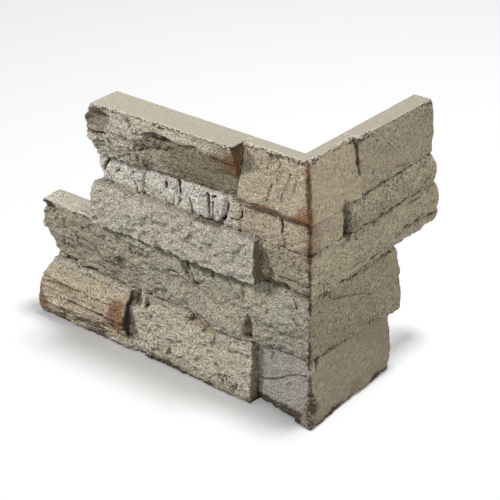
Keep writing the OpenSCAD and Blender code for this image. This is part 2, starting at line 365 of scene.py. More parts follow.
# The stones, from the top course down. Each face has its thickness at the near and the far
# end of its top, then of its foot, and after that its texture and its scars.
def course_1():
    far = Face(LONG, 0, STEP_1, 180, (23.5, 26.5, 14, 23), 1.5)
    upper = smooth_step(far.Z, 158, 190)
    below_break = [(131, 186), (117, 191.5), (98, 190), (90, 191), (38, 191), (38, 150), (133, 150)]
    far.cut(below_break, 2.0, 1.2, 1.1, 1, upper)
    far.cut([(131, 186), (119, 191), (103, 191.5), (97, 187), (112, 185)], 1.6, 0.7, 0.3, 2)
    far.rough(18, 7, 0.3, 11)
    scoop = far.spot(170, 187, 16, 10, -22)
    lumpy = smooth_step(far.A, 112, 126) * fade(far.Z, 188, 193) * fade(scoop, 0, 0.3)
    far.broken(11, 5, 2.2, 1, lumpy)
    far.flakes(15, 6, 1.1, 0.5, 142, lumpy)
    far.broken(26, 4, 0.6, 2, 1 - lumpy)
    far.rough(34, 1.4, 0.14, 12, 1 - lumpy)
    far.broken(7, 3.0, 3.6, 3, far.spot(116, 184, 22, 7, 14) ** 0.5)
    far.cut([(137, 171), (118, 175.5), (104, 180), (128, 178), (136, 176)], 1.6, 0.7, 0.4, 4)
    far.bowl(170, 187.5, 15, 9, 4.5, -22, 0.8)
    far.crack([(180, 176.5), (172, 176), (163, 178)], 1.3, 1.6)
    far.crack([(160, 173), (157, 171)], 1.3, 1.6)
    far.crack([(139, 195), (137.5, 190)], 1.3, 0.8)
    far.crack([(134, 168), (134, 163)], 1.2, 0.9)
    build_stone(TOP_FAR, 0, long_face=far, near=STEP_1, grain=0.2, lumps=0.15, edge=1.6)

    near = Face(LONG, 0, 0, STEP_1, (10, 12, 20.5, 21))
    side = Face(SHORT, 0, 0, STEP_1_SHORT, (9.5, 9.5, 20, 19.5))
    for line in (
        [(19, 196), (21.5, 187)], [(16, 178), (19, 166)], [(12, 194), (12.5, 181)], [(5, 181), (7, 169)],
        [(2.5, 188), (4.5, 176)], [(-3, 186), (-2, 177)], [(27, 192), (28, 186)],
    ):
        near.crack(line, 0.9, 0.8)
    near.bowl(18, 164, 5, 3, 1.0)
    near.crack([(44, 159.5), (20, 160.5), (4, 159.5), (-18, 159)], 1.6, 1.0)
    near.broken(12, 10, 0.55, 13)
    side.broken(12, 10, 0.4, 14)
    side.bowl(-4, 163, 4, 3, 1.0)
    build_stone(TOP_CORNER, 0, near, side, grain=0.2, lumps=0.25, edge=1.8)

    end = Face(SHORT, 0, STEP_1_SHORT, 127, (14, 15.5, 18, 16.5))
    end.broken(16, 12, 0.4, 15)
    end.crack([(82, 164), (90, 161.5), (97, 161)], 1.2, 0.8)
    build_stone(TOP_END, 0, short_face=end, near=STEP_1_SHORT, grain=0.16, lumps=0.25, edge=2.0)


def course_2():
    long = Face(LONG, 1, 0, 178, (18, 17, 18, 16), 0.6)
    breaks = [(131, 136), (111, 113), (98, 106), (71, 70), (53, 60), (41, 43), (6, 4.5)]
    rng = np.random.default_rng(SEED + 5)
    for break_top, break_foot in breaks:
        edge_a = mix(break_foot, break_top, (long.Z - long.foot) / (long.top - long.foot))
        long.t += rng.uniform(0.5, 1.5) * rng.choice([-1, 1]) * np.tanh((long.A - edge_a) / 1.2) * 0.4
        long.t -= np.exp(-(((long.A - edge_a) / 1.3) ** 2))
    for line, width, depth in (
        ([(143, 143), (141, 139), (141, 134)], 1.0, 1.8), ([(161, 145), (158.5, 147)], 1.3, 1.6),
        ([(144.5, 150), (143.5, 148.5)], 1.0, 1.4), ([(141, 151), (139.5, 150)], 0.9, 1.2),
        ([(167, 154), (171, 149), (173.5, 144)], 1.4, 2.6), ([(112.5, 151), (112, 147)], 1.1, 2.0),
        ([(98.5, 158), (98, 153), (97, 148.5)], 1.5, 3.6), ([(89, 146), (87.5, 141), (87.5, 134)], 0.9, 1.4),
        ([(72, 155), (70.5, 148), (70, 139), (67, 135)], 1.3, 3.0), ([(67, 154), (64, 155.5)], 1.3, 2.2),
        ([(66, 151), (67, 142), (66, 138)], 0.9, 1.5), ([(80, 134.6), (60, 134.8)], 1.4, 2.0),
        ([(53, 153), (54, 147), (57, 140.5), (62, 136)], 1.0, 2.2), ([(56, 142), (58.5, 139)], 1.4, 2.4),
        ([(41, 151), (41.8, 146), (45, 142.6), (51, 142)], 1.0, 1.6), ([(6.5, 155), (5.5, 151)], 1.6, 2.6),
        ([(5.5, 151), (6, 146)], 1.2, 1.6), ([(4, 142), (3.5, 135)], 0.9, 1.8),
        ([(63, 145), (61, 141)], 0.9, 0.6),
    ):
        long.crack(line, width, depth)
    long.cut([(126.5, 151.5), (130, 150.5), (135.5, 135.5), (137.5, 134.5), (132, 137)], 7.0, 0.8, 0.15, 3)
    long.cut([(98, 148), (100, 142), (108, 134), (103, 134), (97, 141)], 2.2, 0.9, 0.2, 5)
    long.cut([(73.5, 154), (69.5, 153), (68.5, 141), (71, 140)], 2.0, 0.8, 0.3, 6)
    long.broken(9, 7, 0.9, 21)
    side = Face(SHORT, 1, 0, GAP_2_SHORT, (18.5, 18.5, 17.5, 17.5))
    side.far = GAP_2_SHORT - 1.0
    side.broken(9, 9, 0.4, 22)
    build_stone(SECOND, 1, long, side, grain=0.24, lumps=0.4, edge=1.5)

    end = Face(SHORT, 1, GAP_2_SHORT, 128, (16.5, 16.5, 18.5, 18.5), 2.5)
    end.crack([(20.5, 158), (22, 146), (24, 133)], 5.0, 10.0)
    end.broken(9, 5, 1.0, 23)
    end.rough(3.2, 2.6, 0.35, 24, smooth_step(end.A, 24, 34))
    build_stone(SECOND_END, 1, short_face=end, near=GAP_2_SHORT - 1.5, grain=0.3, lumps=0.35, edge=1.8)


def course_3():
    far = Face(LONG, 2, STEP_3, 182, (24, 24.5, 24.5, 25.5), 0.3)
    far.rough(18, 10, 0.3, 31)
    far.broken(6, 5, 0.55, 32)
    far.rough(2.6, 2.2, 0.4, 32)
    build_stone(THIRD_FAR, 2, long_face=far, near=STEP_3, grain=0.3, lumps=0.2, edge=1.2)

    near = Face(LONG, 2, 0, STEP_3, (18, 18.5, 17, 17))
    near.broken(8, 6, 1.3, 33)
    near.cut([(40, 96), (40, 107), (26, 107.5), (3, 107), (-2, 102), (-5, 96)], 4.2, 2.4, 0.5, 34)
    near.crack([(9, 110.5), (-4, 111), (-18, 110)], 1.2, 1.1)
    near.crack([(-4, 103), (-18, 101.5)], 1.4, 1.4)
    side = Face(SHORT, 2, 0, 130, (18, 19, 18, 17), 0.8)
    side.broken(12, 5, 0.8, 35)
    foot_strip = [(20, 98), (20, 105), (60, 104.5), (83, 107), (96, 108.5), (140, 109), (140, 98)]
    side.cut(foot_strip, 1.1, 1.2, 0.5, 36)
    side.crack([(52, 103.5), (60, 104), (68, 105)], 1.6, 3.0)
    side.crack([(27, 106), (45, 106.5)], 1.0, 0.9)
    side.cut([(90, 110.5), (94, 117), (99, 111)], 1.6, 1.0, 0.2, 37)
    side.crack([(82, 108), (92, 111), (110, 111), (120, 110), (132, 108.5)], 1.3, 1.6)
    side.crack([(97, 130), (104, 129.3), (111, 131.5)], 1.3, 1.3)
    side.crack([(50, 133), (57, 132.6), (66, 133.2), (75, 133)], 1.3, 1.3)
    side.crack([(14, 131), (19, 129)], 1.0, 0.8)
    side.rough(3.0, 2.2, 0.3, 38, smooth_step(side.A, 60, 90))
    build_stone(THIRD_CORNER, 2, near, side, grain=0.34, lumps=0.4, edge=1.7)


def course_4():
    long = Face(LONG, 3, 0, 243, (18, 20, 17, 13), 2)
    long.t += 7.5 * long.spot(56, 50, 42, 26) ** 1.5
    long.t -= 2.0 * long.spot(14, 97, 30, 12)
    long.rough(26, 10, 0.7, 41)
    rugged = smooth_step(long.A, 84, 100) * (1 - 0.4 * smooth_step(long.Z, 88, 98))
    long.broken(20, 7, 1.3, 41, rugged)
    long.flakes(22, 8, 1.7, 0.6, 141, rugged)
    long.broken(10, 6, 1.1, 42, 1 - rugged)
    long.rough(2.8, 2.2, 0.25, 42)
    long.cut([(101, 96), (84, 73), (62, 70), (40, 84), (66, 101)], 3.2, 1.0, 0.4, 43)
    long.cut([(101, 94), (97, 86), (84, 73), (89, 83), (96, 93)], 2.8, 0.7, 0.15, 44)
    long.crack([(76, 97), (71, 95), (70.5, 89)], 1.4, 1.8)
    long.cut([(36.5, 74), (40, 63), (39, 54), (30.5, 53.5), (30.5, 62)], 3.6, 1.0, 0.3, 45)
    long.crack([(41, 93), (38, 83)], 1.6, 1.0)
    long.bowl(236, 92, 9, 7, 4.5)
    long.bowl(-9, 86, 7, 6, 1.6, 0, 0.6)
    long.crack([(-4, 97), (-6.5, 91)], 1.0, 1.2)
    long.crack([(-4, 82), (-8, 79), (-13, 80)], 1.4, 1.2)
    long.crack([(86, 52), (68, 52)], 1.6, 1.8)
    side = Face(SHORT, 3, 0, 84, (18, 18, 16, 23), 1)
    side.rough(20, 14, 0.4, 46)
    side.broken(10, 8, 0.6, 46)
    side.cut([(1.5, 104), (3, 97), (8, 90.5), (23, 86.5), (42, 80.5), (70, 86), (76, 104)], 0.8, 0.7, 0.2, 47)
    side.crack([(2, 99), (4, 94.5), (8, 90.5), (23, 86.5), (42, 80.5), (48, 77)], 0.9, 1.2)
    side.crack([(44, 97), (60, 98.5), (76, 99)], 1.0, 0.9)
    side.flakes(5, 3, 0.6, 0.4, 48, side.spot(24, 56, 40, 6) ** 0.5)
    build_stone(FOURTH, 3, long, side, grain=0.3, lumps=0.25, edge=1.7)


def course_5():
    far = Face(LONG, 4, STEP_5_FAR, 246, (17, 16, 21, 24.5), 8)
    far.rough(60, 5, 0.7, 51)
    far.rough(22, 1.6, 0.5, 52, 1 - 0.8 * far.spot(178, 43, 40, 9))
    far.broken(30, 3.8, 2.4, 53, 1 - 0.7 * smooth_step(far.Z, 33, 40))
    far.crack([(232, 46), (205, 46.3), (180, 46), (155, 46.5)], 1.0, 0.7)
    far.crack([(214, 21.5), (190, 22), (170, 21.5), (151, 22)], 1.4, 1.5)
    far.crack([(246, 12), (225, 13.5), (205, 12.5)], 1.3, 1.1)
    far.crack([(200, 45), (197, 48.5)], 0.9, 0.8)
    far.crack([(240, 31), (217, 31.5), (207, 33)], 1.2, 1.0)
    build_stone(FOOT_FAR, 4, long_face=far, near=STEP_5_FAR, grain=0.3, lumps=0.35, edge=1.6)

    middle = Face(LONG, 4, STEP_5_NEAR, STEP_5_FAR, (21, 19, 25, 24))
    middle.broken(12, 7, 1.3, 54)
    middle.flakes(14, 9, 0.7, 0.4, 143)
    middle.bowl(147, 45, 7, 9, 6.0, 20, 0.8)
    middle.cut([(137, 50), (131, 50), (132.5, 42), (138, 38)], 2.6, 1.4, 0.3, 56)
    middle.cut([(92, 54), (92, 45), (66, 43.5), (60, 54)], 4.0, 1.6, 0.4, 57)
    middle.crack([(132, 48.5), (110, 48), (92, 47)], 1.2, 0.9)
    for a, z, half_a, half_z, depth in (
        (131, 34, 2, 3, 1.6), (122, 28, 4, 2, 1.5), (109, 20, 6, 3.5, 2.0), (112, 12, 2.5, 5, 1.8),
        (103, 38, 2, 1.6, 1.3), (77, 43, 2, 2, 1.5), (65, 18, 4, 3, 1.7), (61, 12, 2, 3, 1.4),
        (46, 8, 2, 7, 1.5), (52, 34, 3, 1.5, 1.0), (84, 8, 3, 2, 1.4), (72, 27, 3, 2, 1.0),
    ):
        middle.bowl(a, z, half_a, half_z, depth, 25, 0.6)
    build_stone(FOOT_MIDDLE, 4, long_face=middle, near=STEP_5_NEAR, grain=0.3, lumps=0.25, edge=1.6)

    near = Face(LONG, 4, 0, STEP_5_NEAR, (16, 18, 24, 19), -1)
    near.broken(14, 12, 0.6, 58)
    near.crack([(30, 22.5), (22, 22.5), (14, 25.5), (9, 28), (2, 33), (-6, 36.5), (-14, 38)], 1.0, 1.3)
    above_crack = [(40, 24), (22, 23.5), (9, 29), (0, 35), (-20, 41), (-30, 41), (-30, 60), (40, 60)]
    near.cut(above_crack, 0.9, 0.8, 0.1, 59)
    near.crack([(17, 41), (16.5, 46.5)], 0.9, 0.9)
    near.crack([(3, 26), (-3, 29.5)], 0.8, 0.7)
    near.cut([(40, -5), (40, 6), (10, 5.5), (-8, 4.5), (-11, -5)], 5.0, 2.0, 0.4, 60)
    side = Face(SHORT, 4, 0, 76, (16.5, 17, 24, 18), 1)
    side.rough(24, 16, 0.6, 61)
    side.broken(16, 14, 0.4, 62)
    side.crack([(-8, 50), (-9.5, 47)], 2.2, 3.0)
    side.crack([(-9.5, 47), (-12, 42)], 1.2, 2.0)
    build_stone(FOOT_CORNER, 4, near, side, grain=0.2, lumps=0.35, edge=2.4)


for course in (course_1, course_2, course_3, course_4, course_5):
    course()
build_slab()


def make_mesh():
    """The surface of the field, in metres, with its triangles brought down to the budget."""
    volume = openvdb.FloatGrid()
    volume.background = FAR_OFF
    volume.copyFromArray(np.clip(grid.values, -FAR_OFF, FAR_OFF), tolerance=0.0)
    points, triangles, quads = volume.convertToPolygons(isovalue=0.0, adaptivity=0.0)
    origin = np.array([axis[0] for axis in grid.axes])
    points = (points * VOXEL + origin) * MM
    # The foot stays on the floor
    points[:, 2] = np.maximum(points[:, 2], 0)
    mesh = bpy.data.meshes.new("stone_panel")
    mesh.from_pydata(points.tolist(), [], quads.tolist() + triangles.tolist())
    raw = bpy.data.objects.new("stone_panel", mesh)
    bpy.context.scene.collection.objects.link(raw)
    count = 2 * len(quads) + len(triangles)
    thin = raw.modifiers.new("thin", "DECIMATE")
    thin.ratio = min(1.0, TRIANGLES / count)
    depsgraph = bpy.context.evaluated_depsgraph_get()
    final = bpy.data.meshes.new_from_object(raw.evaluated_get(depsgraph))
    raw.modifiers.clear()
    raw.data = final
    return raw


panel = make_mesh()

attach(panel, "root")
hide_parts(NODE)


def box_blur(values, radius):
    """Mean over a cube of the given radius in grid steps."""
    for axis in range(3):
        pad = [(0, 0)] * 3
        pad[axis] = (radius + 1, radius)
        sums = np.cumsum(np.pad(values, pad, mode="edge"), axis=axis, dtype=np.float64)
        width = 2 * radius + 1
        high = np.take(sums, range(width, sums.shape[axis]), axis=axis)
        low = np.take(sums, range(0, sums.shape[axis] - width), axis=axis)
        values = ((high - low) / width).astype(np.float32)
    return values


def vertex_values(name):
    values = np.empty(count * 3, np.float32)
    panel.data.vertices.foreach_get(name, values)
    return values.reshape(-1, 3)


# What the paint goes by, vertex by vertex: place in mm, facing, stone, two noises, and how
# hollow the form is over a small and a wide reach (below 0 on arrises)
count = len(panel.data.vertices)
co = vertex_values("co") / MM
normals = vertex_values("normal")
index = tuple(
    np.clip(np.rint((co[:, i] - axis[0]) / VOXEL).astype(int), 0, len(axis) - 1)
    for i, axis in enumerate(grid.axes)
)
solid = np.clip(grid.values, -2.0, 2.0)
hollow_near = -box_blur(solid, 2)[index]
hollow_wide = -box_blur(solid, 7)[index]
owner = grid.owner[index]
wobble = grid.coarse[index]
speck = grid.fine[index]
X, Y, Z = co.T
A_LONG, A_SHORT = -X, Y
to_arris = np.abs(X + Y)
on_side = smooth_step(normals[:, 0], 0.3, 0.8)
end_face = smooth_step(normals[:, 0], 0.4, 0.8)
facing_up = smooth_step(normals[:, 2], 0.5, 0.9)
front = (Y < -6) & (normals[:, 1] < -0.2)
flat_top = (Z > PANEL_H - 0.15) | ((np.abs(Z - TOPS[3]) < 0.5) & (A_LONG > 180))
on_back = (Y > -0.3) & (X < 0.3)


def linear(*rgb):
    """Linear colour from an 8-bit screen colour."""
    c = np.array(rgb) / 255.0
    return np.where(c <= 0.04045, c / 12.92, ((c + 0.055) / 1.055) ** 2.4)


PALE = linear(212, 205, 190)
TOP = linear(141, 135, 122)
BACK = linear(176, 168, 150)
SHADE = linear(104, 97, 78)
BASE = linear(194, 185, 166)
OLIVE = linear(158, 148, 124)
GREEN = linear(130, 120, 90)
TAN = linear(176, 156, 126)
RUST = linear(134, 86, 48)
BROWN = linear(84, 62, 42)
DARK = linear(50, 42, 33)
COOL = linear(170, 168, 161)
BLACK = linear(30, 27, 24)
DIRT = linear(66, 52, 37)
CREAM = linear(234, 227, 213)

STONE_TONES = {
    TOP_FAR: linear(214, 204, 182), TOP_CORNER: linear(186, 172, 148), SECOND: linear(202, 187, 160),
    THIRD_FAR: linear(208, 200, 185), THIRD_CORNER: linear(186, 173, 149), FOURTH: linear(192, 185, 164),
    FOOT_FAR: linear(208, 191, 163), FOOT_MIDDLE: linear(213, 203, 182), FOOT_CORNER: linear(160, 155, 144),
}

# Tones of the faces along the short leg: tone, amount and the stones that get it
SIDE_TONES = (
    (linear(192, 178, 149), 0.9, range(SLAB, FOOT_CORNER + 1)),
    (linear(222, 208, 175), 0.75, (SECOND_END, THIRD_CORNER, FOURTH)),
    (linear(240, 226, 192), 0.6, (THIRD_CORNER,)),
    (SHADE, 0.25, (TOP_CORNER,)),
    (linear(240, 223, 190), 0.85, (SECOND,)),
    (linear(110, 104, 92), 0.66, (FOOT_CORNER,)),
)

# Stains on the long leg, two of them painted shade: stone, tone, amount, place, half sizes and raggedness
STAINS_AND_SHADE = (
    (TOP_FAR, RUST, 0.4, (50, 186), (26, 12), 0.25),
    (TOP_FAR, RUST, 0.6, (44, 184), (9, 13), 0.25),
    (TOP_FAR, BROWN, 0.55, (171, 187), (15, 9), 0.1),
    (TOP_FAR, BROWN, 0.55, (114, 188.5), (18, 2.6), 0.1),
    # Painted shade: brown under the broken foot of the third course at the corner
    (THIRD_CORNER, BROWN, 0.3, (18, 104), (24, 6), 0.25),
    (FOURTH, GREEN, 0.5, (35, 62), (5, 9), 0.1),
    (FOURTH, BROWN, 0.5, (236, 92), (8, 7), 0.25),
    (FOOT_FAR, RUST, 0.75, (159, 26), (10, 17), 0.25),
    # Painted shade: dark down the notch between the far and the middle foot stones
    (FOOT_FAR, DARK, 0.85, (152, 26), (3.2, 24), 0.1),
    (FOOT_FAR, RUST, 0.7, (244, 20), (8, 22), 0.25),
    (FOOT_MIDDLE, TAN, 0.8, (78, 48), (16, 5), 0.25),
    (FOOT_MIDDLE, BROWN, 0.7, (147, 45), (6, 7), 0.25),
)

# Dirt that lies over a whole stone, and how strong the fine grain of a smooth stone is
STONE_DIRT = {
    TOP_CORNER: 0.12, TOP_END: 0.2, SECOND: 0.14, SECOND_END: 0.32, THIRD_FAR: 0.16,
    THIRD_CORNER: 0.24, FOURTH: 0.2, FOOT_MIDDLE: 0.22, FOOT_CORNER: 0.08,
}
STONE_GRAIN = {TOP_CORNER: 0.9, TOP_END: 0.85, FOOT_CORNER: 0.8}
FLAT_GRAIN, BACK_GRAIN = 0.35, 0.3


class Coat:
    """Tones laid one over another, and dirt, of which the strongest counts."""

    def __init__(self):
        self.colour = np.tile(BASE, (count, 1))
        self.dirt = np.zeros(count)

    def paint(self, tone, amount):
        amount = np.clip(amount, 0.0, 1.0)[:, None]
        self.colour = self.colour * (1 - amount) + tone * amount

    def soil(self, amount):
        self.dirt = np.maximum(self.dirt, np.clip(amount, 0.0, 1.0))


def line_distance(a, z, points):
    best = np.full(len(a), 1e3)
    for (a0, z0), (a1, z1) in zip(points, points[1:]):
        da, dz = a1 - a0, z1 - z0
        s = np.clip(((a - a0) * da + (z - z0) * dz) / (da * da + dz * dz), 0, 1)
        best = np.minimum(best, np.hypot(a - a0 - s * da, z - z0 - s * dz))
    return best


def near_spot(a, place, half, rag=0.25):
    """1 in a ragged ellipse on a leg, 0 away from it."""
    r = np.hypot((a - place[0]) / half[0], (Z - place[1]) / half[1]) + rag * wobble
    return fade(r, 0.6, 1.15)


def coat_stones(coat):
    """The tone of each stone, of its side and of its upper face."""
    for stone, tone in STONE_TONES.items():
        coat.paint(tone, owner == stone)
    for tone, amount, stones in SIDE_TONES:
        coat.paint(tone, amount * on_side * np.isin(owner, stones))
    coat.paint(OLIVE, 0.28 * on_side * smooth_step(100 - Z, 0, 8))
    coat.paint(CREAM, (owner == SECOND) * smooth_step(A_LONG, 38, 62))
    lower_top = (A_LONG > 176) & (np.abs(Z - TOPS[3]) < 4)
    is_top = (Z > PANEL_H - 3) | lower_top | (owner == SLAB)
    coat.paint(PALE, 0.75 * facing_up * is_top)
    coat.paint(BROWN, 0.3 * facing_up * ~is_top)


def coat_fronts(coat):
    """Cool and olive drifts on the fourth course, the green lower part of the top stone, and a painted
    highlight on every arris.
    """
    cool = fade(A_LONG + 0.3 * (Z - 50), -4, 34) * (normals[:, 0] < 0.5)
    coat.paint(COOL, 0.3 * (owner == FOURTH) * cool)
    coat.paint(OLIVE, 0.45 * (owner == FOURTH) * smooth_step(A_LONG + 14 * wobble, 110, 190) * (Z < 98))
    below_break = (owner == TOP_FAR) * smooth_step(192 - Z - 0.25 * np.maximum(A_LONG - 110, 0), 0, 6)
    coat.paint(GREEN, below_break * (0.78 - 0.62 * smooth_step(A_LONG + 12 * wobble, 105, 145)))
    coat.paint(PALE, 0.5 * (owner == TOP_FAR) * smooth_step(A_LONG, 120, 145))
    # Painted highlight: paler on the arrises, where the form is convex
    coat.paint(PALE, 0.3 * smooth_step(-hollow_near, 0.12, 0.6))
    coat.soil(0.3 * (owner == TOP_FAR) * below_break)


def coat_corner(coat):
    """The arris of the corner: rust above, a brown line all the way, dirt below."""
    outside = (X > 4) & (Y < -4)
    at_corner = fade(to_arris + 1.2 * wobble, 0.8, 4.6) * outside
    halo = fade(to_arris + 2.5 * wobble, 1.0, 11.0) * outside
    patchy = smooth_step(wobble + 0.5 * speck, -1.6, 0.2)
    coat.paint(RUST, 0.5 * halo * smooth_step(Z, 120, 135) * fade(Z, 160, 176))
    coat.paint(RUST, 0.9 * at_corner * smooth_step(Z, 120, 140) * patchy)
    coat.paint(BROWN, 0.9 * fade(to_arris + 0.8 * wobble, 0.3, 2.2) * at_corner)
    coat.soil(0.45 * fade(to_arris + wobble, 0.2, 2.6) * at_corner)
    coat.soil(0.5 * at_corner * fade(Z, 118, 135))


def coat_end_face_shade(coat):
    """Painted shade, brown and dark, on the steps between the stones, where they face along the leg."""
    # Painted shade: the end faces of the steps, turned away from the key light, painted brown and dark
    coat.paint(BROWN, 0.9 * (owner == TOP_FAR) * end_face * (A_LONG < 50))
    coat.paint(BROWN, 0.9 * (owner == FOOT_FAR) * end_face * (A_LONG < 160))
    coat.paint(BROWN, 0.9 * (owner == TOP_END) * smooth_step(-normals[:, 1], 0.4, 0.8) * (A_SHORT < 45))
    coat.paint(SHADE, 0.8 * (owner == THIRD_FAR) * end_face * (A_LONG < 32))
    coat.paint(BROWN, 0.35 * (owner == FOOT_MIDDLE) * end_face * (A_LONG < 36))


def coat_stains_and_shade(coat):
    """Rust and brown patches, each at its own place, some of them painted shade, and painted shade in the
    pocket of the fourth course and in the gap of the second course.
    """
    foot_line = 0.6 * near_spot(A_LONG, (8, 159.5), (44, 3.2))
    coat.paint(RUST, foot_line * front * (owner == TOP_CORNER))
    coat.paint(BROWN, 0.7 * near_spot(A_LONG, (8, 158.4), (44, 1.6)) * front)
    coat.paint(RUST, 0.5 * near_spot(A_LONG, (-14, 163), (7, 7)) * front * (owner == TOP_CORNER))
    for stone, tone, amount, place, half, rag in STAINS_AND_SHADE:
        coat.paint(tone, amount * near_spot(A_LONG, place, half, rag) * (owner == stone))
    # Painted shade: dark in the pocket and wedge of the fourth course
    pocket = near_spot(A_LONG, (92, 84), (10, 8), 0.1) * smooth_step(hollow_near, 0.1, 0.4)
    coat.paint(DARK, 0.75 * pocket * (owner == FOURTH))
    # Painted shade: dark in the gap between the stones of the second course on the short leg
    gap = near_spot(A_SHORT, (22.5, 145), (4.5, 13), 0.1) * (X > 3) * smooth_step(hollow_near, 0.05, 0.3)
    coat.paint(DARK, 0.9 * gap)


def coat_hollows(coat):
    """Painted shade in the hollows; dirt in the hollows and per stone, on the upper arrises and in the
    joints.
    """
    # Painted shade: olive over the wide hollows, brown and dark in the narrow hollows and creases
    coat.paint(OLIVE, 0.35 * smooth_step(hollow_wide, 0.05, 0.7))
    coat.paint(BROWN, 0.45 * smooth_step(hollow_near, 0.3, 0.75) * (1 - facing_up))
    coat.paint(DARK, 0.9 * smooth_step(hollow_near, 0.55, 1.0))
    coat.soil(0.8 * smooth_step(hollow_near, 0.35, 0.9))
    for stone, amount in STONE_DIRT.items():
        coat.soil((amount + 0.1 * wobble) * (owner == stone))
    coat.soil(0.25 * (owner == FOOT_FAR))
    upper_line = fade(np.abs(Z - 198 + 0.5 * wobble), 0.5, 1.7)
    coat.soil((0.62 + 0.12 * wobble) * upper_line * np.isin(owner, (TOP_FAR, TOP_CORNER)))
    upper_line = fade(np.abs(Z - 198.4 + 0.4 * wobble), 0.4, 1.4)
    coat.soil((0.45 + 0.1 * wobble) * upper_line * (owner == TOP_END))
    for edge_z in (PANEL_H, TOPS[3]):
        worn_edge = smooth_step(-hollow_near, 0.05, 0.25) * (np.abs(Z - edge_z + 1.6) < 1.3)
        coat.soil((0.6 + 0.15 * wobble) * worn_edge)
    for joint_z in TOPS[1:]:
        joint = fade(np.abs(Z - joint_z), 0.5, 1.4) * smooth_step(hollow_near, -0.1, 0.15)
        joint *= normals[:, 2] < 0.7
        coat.paint(BROWN, 0.5 * joint)
        coat.soil(0.8 * joint)


def coat_cracks(coat):
    """Painted shade in brown, with dirt, along every crack, and painted shade in black in the gap of the
    second course.
    """
    on_long = (Y < -6) & (X < 16)
    on_short = (X > 6) & (Y > -14)
    for leg, points, width, depth in cracks:
        a, on_leg = (A_LONG, on_long) if leg == LONG else (A_SHORT, on_short)
        inside = fade(line_distance(a, Z, points) + 0.3 * wobble, 0.35 * width, width + 0.4)
        # Painted shade: brown along each crack; the soil is dirt
        coat.paint(BROWN, min(0.7, 0.15 + 0.2 * depth) * inside * on_leg)
        coat.soil(min(0.6, 0.2 + 0.17 * depth) * inside * on_leg)
    # Painted shade: black in the gap of the second course
    gap = (A_SHORT > 16) * (A_SHORT < 21 + 0.2 * (157 - Z)) * (Z > 134) * (Z < 155)
    coat.paint(BLACK, 0.85 * on_short * (X < 16.2) * gap)


def coat_foot(coat):
    """Darker towards the foot, most of all at the corner, and painted shade in the undercut at the foot of
    the corner stone.
    """
    coat.paint(BROWN, 0.45 * fade(Z + 2.0 * wobble, 1.0, 9.0))
    coat.paint(DARK, 0.6 * fade(Z + wobble, 0.8, 3.2))
    coat.soil(fade(np.hypot(to_arris / 10, Z / 36) + 0.2 * wobble, 0.3, 1.15) * (X > 4))
    coat.paint(BROWN, 0.5 * fade(np.hypot(to_arris / 14, Z / 30) + 0.2 * wobble, 0.3, 1.2) * (X > 4))
    coat.soil(0.75 * fade(Z + wobble, 0.8, 4.5))
    corner_stone = owner == FOOT_CORNER
    coat.soil(fade(Z + wobble, 1.5, 6.5) * corner_stone)
    coat.soil(0.6 * corner_stone * (X > 8) * smooth_step(A_SHORT + 0.7 * wobble, 71, 75) * (Z < 46))
    # Painted shade: dark in the undercut at the foot of the corner stone
    undercut = corner_stone * (Y < -6) * (X < 14)
    coat.paint(DARK, 0.7 * undercut * fade(Z + 0.8 * wobble, 8.5, 12.0))
    coat.soil(0.8 * undercut * fade(Z + 0.8 * wobble, 8.0, 14.0))


def coat_planes(coat):
    """One even tone on the flat tops and the back, whose triangles are large."""
    coat.paint(TOP, flat_top * facing_up)
    coat.paint(BACK, on_back)
    coat.dirt[flat_top | on_back | (Z < 0.1)] = 0


def grain_strength():
    """How strong the fine grain is: weaker on smooth stones, the tops and the back."""
    grain = np.ones(count)
    for stone, amount in STONE_GRAIN.items():
        grain[owner == stone] = amount
    grain *= 1 - 0.25 * on_side * np.isin(owner, (TOP_CORNER, FOOT_CORNER))
    grain = mix(grain, FLAT_GRAIN, flat_top)
    grain[(Y > -0.2) & (X < 0.2)] = BACK_GRAIN
    return grain


def store_coat(coat):
    """The tone with the grain as its alpha, and the dirt, as attributes of the mesh."""
    colours = panel.data.color_attributes.new("stone_colour", "FLOAT_COLOR", "POINT")
    rgba = np.concatenate([coat.colour, grain_strength()[:, None]], axis=1).astype(np.float32)
    colours.data.foreach_set("color", rgba.ravel())
    panel.data.color_attributes.active_color = colours
    dirt = panel.data.attributes.new("stone_dirt", "FLOAT", "POINT")
    dirt.data.foreach_set("value", coat.dirt.astype(np.float32))


stone_coat = Coat()
for lay in (
    coat_stones, coat_fronts, coat_corner, coat_end_face_shade, coat_stains_and_shade,
    coat_hollows, coat_cracks, coat_foot, coat_planes,
):
    lay(stone_coat)
store_coat(stone_coat)


# Depth of the material's bump in metres
BUMP_DISTANCE = 0.0055


